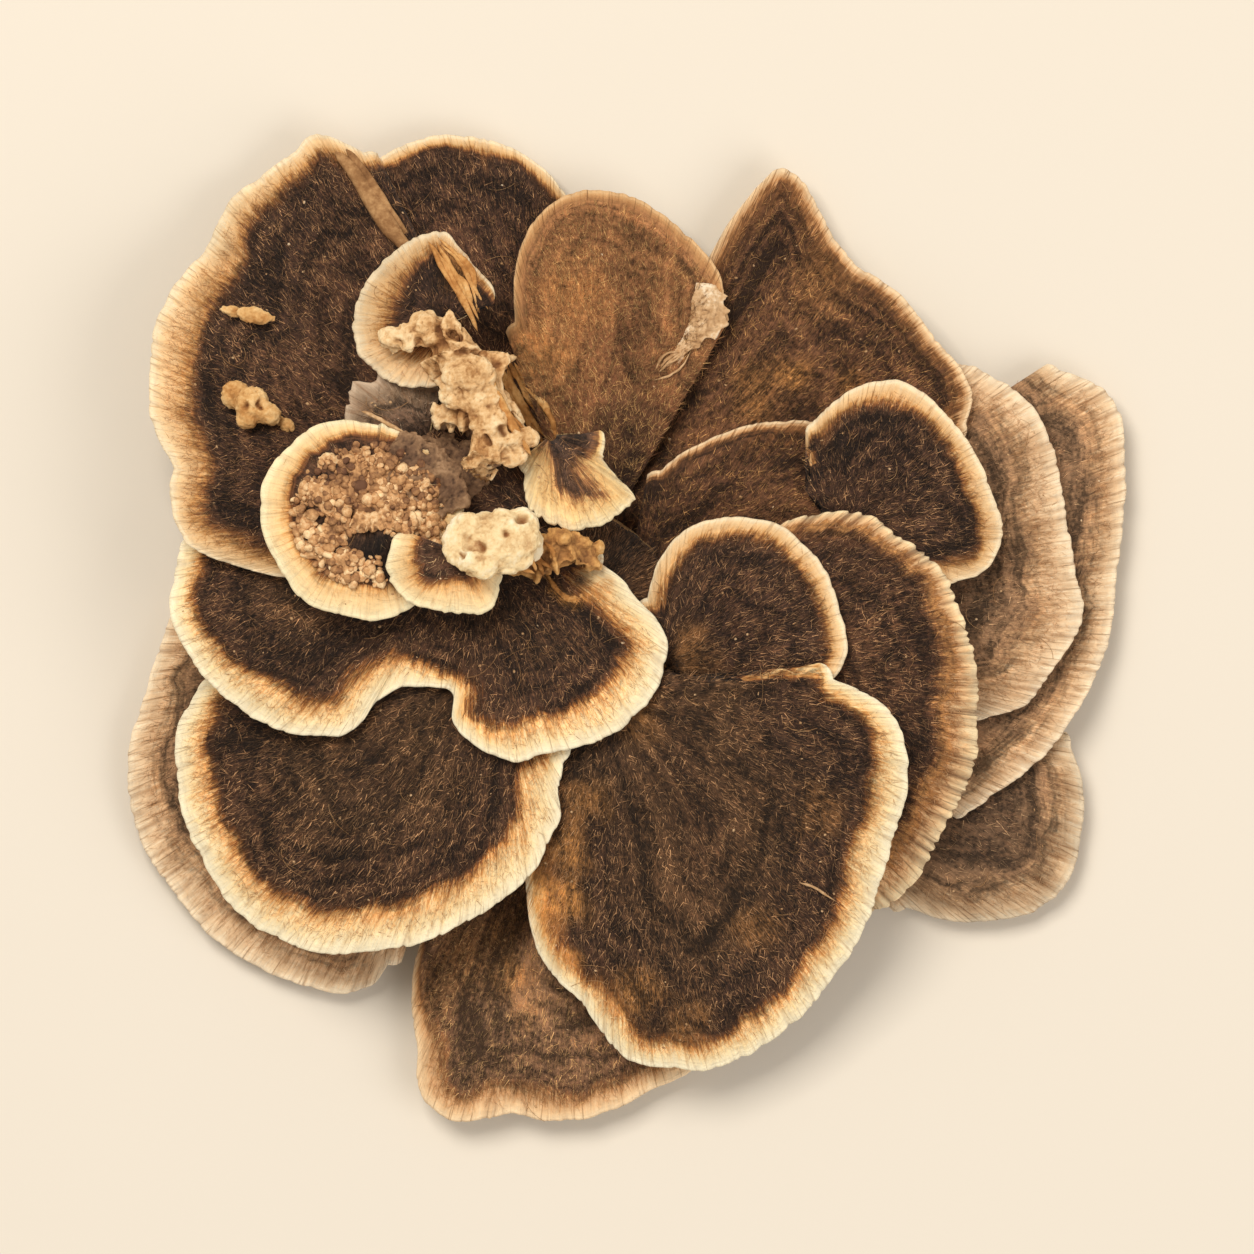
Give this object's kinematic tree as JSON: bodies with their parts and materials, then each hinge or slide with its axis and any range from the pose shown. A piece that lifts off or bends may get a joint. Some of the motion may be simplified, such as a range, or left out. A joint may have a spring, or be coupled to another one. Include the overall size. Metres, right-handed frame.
{
  "type": "turkey tail fungus rosette",
  "caption": "Dried turkey tail rosette: thin, banded, velvety brackets with cream margins that overlap like shingles round one base, which is cut off flat.",
  "frame": {"origin": "middle of the flat cut face on which the rosette rests", "axes": "+Z out of the cut face, towards the hairy upper sides of the brackets; +Y towards the narrow bracket between the left one and the pointed one; +X towards the outermost right bracket"},
  "size_m": [0.083, 0.0819, 0.0227],
  "materials": {
    "dark_bracket": "velvety dark brown with an orange band and a cream margin",
    "ribbed_bracket": "dark brown with radial ridges and a cracked cream margin",
    "brown_bracket": "dull velvety brown with a narrow pale margin",
    "tan_bracket": "tan and brown zones with a broad striped margin",
    "buff_bracket": "fuzzy golden brown",
    "cream_bracket": "cream with orange-brown zones",
    "crust": "dull cream, granular and pitted",
    "torn_base": "torn, corky, pale brown"
  },
  "bodies": {
    "root": {"base": "torn_base", "cap_rear_low": "tan_bracket", "cap_rear_right": "tan_bracket", "cap_rear_top": "dark_bracket", "cap_rear_left": "tan_bracket", "cap_bottom": "brown_bracket", "cap_right": "tan_bracket", "cap_top_right": "brown_bracket", "cap_top": "buff_bracket", "cap_wing": "brown_bracket", "cap_upper_right": "dark_bracket", "cap_crescent": "ribbed_bracket", "cap_round": "dark_bracket", "cap_front": "dark_bracket", "cap_lower_left": "dark_bracket", "cap_lobed": "dark_bracket", "cap_left": "dark_bracket", "cap_flap": "buff_bracket", "cap_small_fan": "cream_bracket", "cap_saucer": "cream_bracket", "cap_scalloped": "cream_bracket", "cap_small_top": "cream_bracket", "root_tissue": "brown_bracket", "crust_ridge": "crust", "crust_knob": "crust", "crumb_round": "crust", "crumb_sliver": "buff_bracket"}
  },
  "joints": []
}
